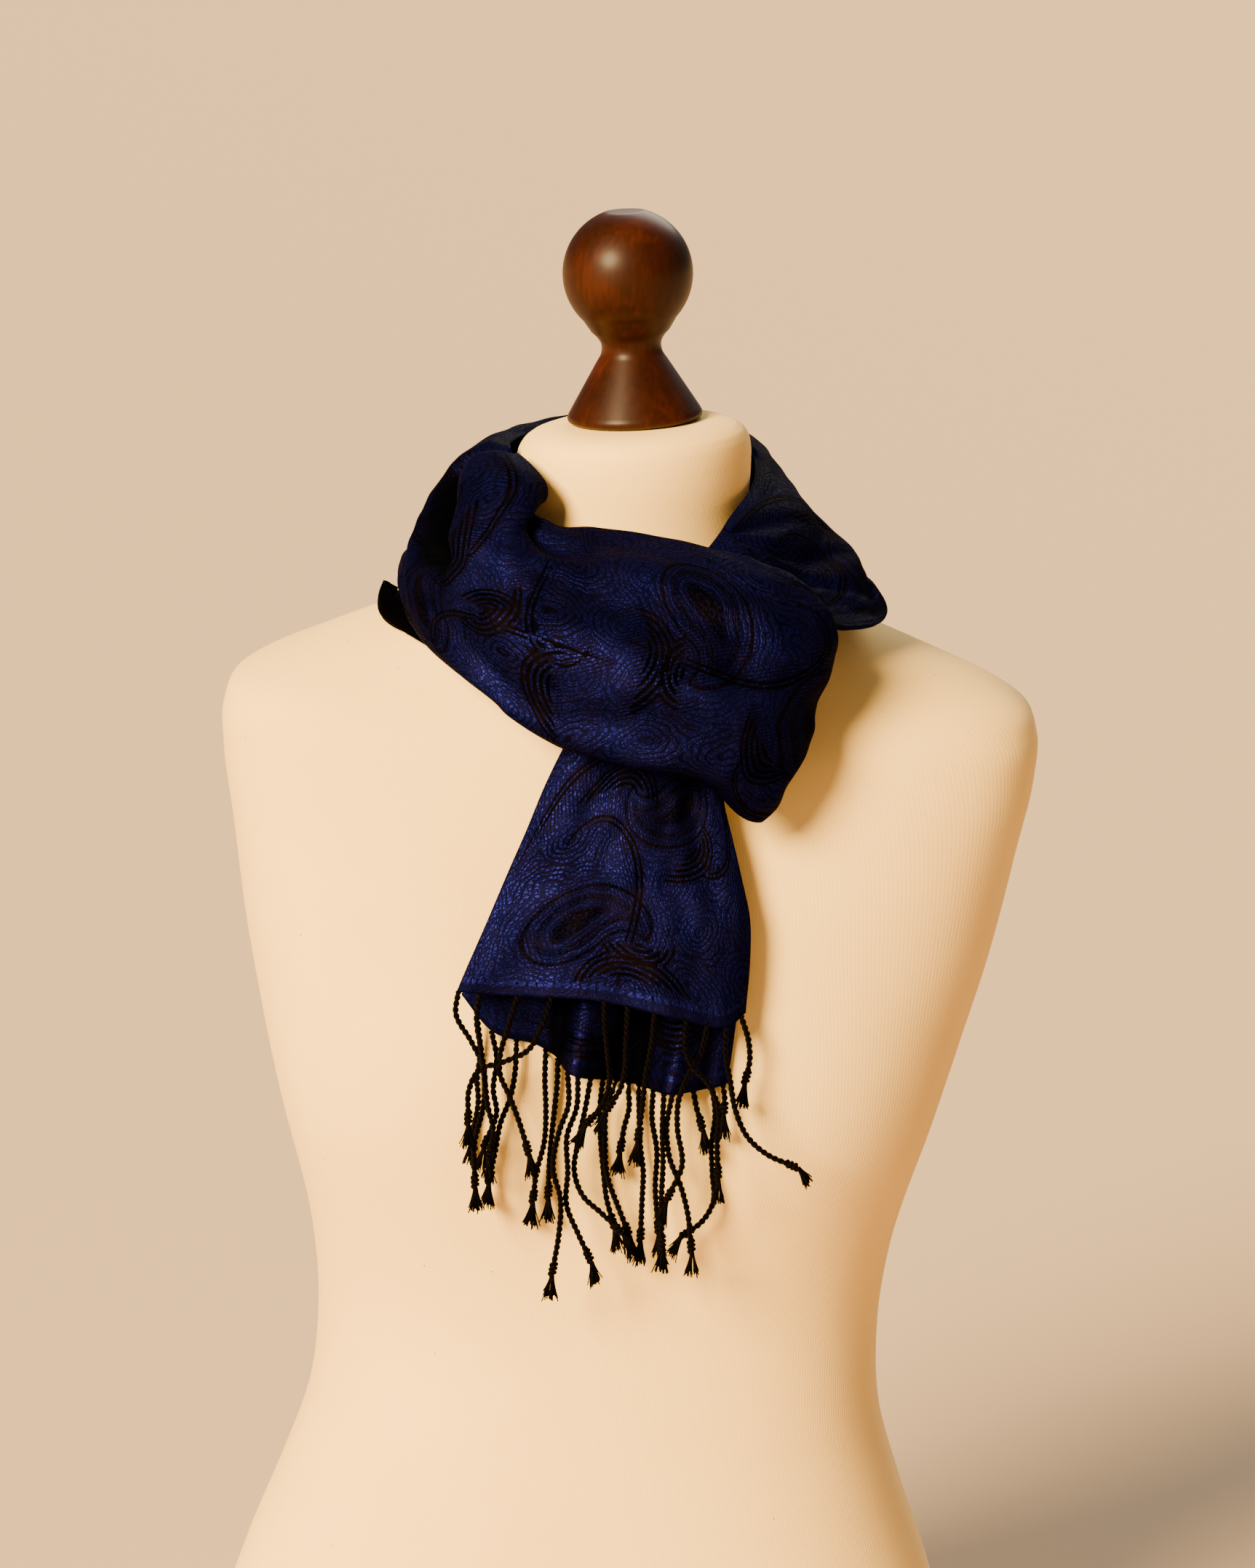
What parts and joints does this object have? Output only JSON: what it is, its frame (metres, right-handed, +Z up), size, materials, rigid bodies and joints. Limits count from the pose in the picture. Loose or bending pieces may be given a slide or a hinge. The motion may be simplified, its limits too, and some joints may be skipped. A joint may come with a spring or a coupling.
{
  "type": "silk shawl on limbless dress form",
  "caption": "Fringed silk shawl, doubled and drawn through its own loop, worn round the neck of a limbless dress form with a turned wooden neck knob.",
  "frame": {"origin": "middle of the flat underside of the form, on the surface it stands on", "axes": "+Z up; the form faces -Y; +X is to the right of someone who looks at its front"},
  "size_m": [0.3985, 0.271, 0.7834],
  "materials": {
    "navy_jacquard_silk": "satin navy silk with a matt black woven pattern",
    "dark_silk_cord": "twisted silk cord, black brown",
    "cream_jersey": "fine knitted jersey, cream",
    "lacquered_beech": "red brown stain under gloss lacquer"
  },
  "bodies": {
    "root": {"shawl_back": "navy_jacquard_silk", "shawl_left_shoulder": "navy_jacquard_silk", "shawl_front_swathe": "navy_jacquard_silk", "shawl_under_leg": "navy_jacquard_silk", "shawl_right_collar": "navy_jacquard_silk", "shawl_front_tail": "navy_jacquard_silk", "shawl_back_tail": "navy_jacquard_silk", "fringe_front": "dark_silk_cord", "fringe_back": "dark_silk_cord", "bust_form": "cream_jersey", "neck_knob": "lacquered_beech"}
  },
  "joints": []
}
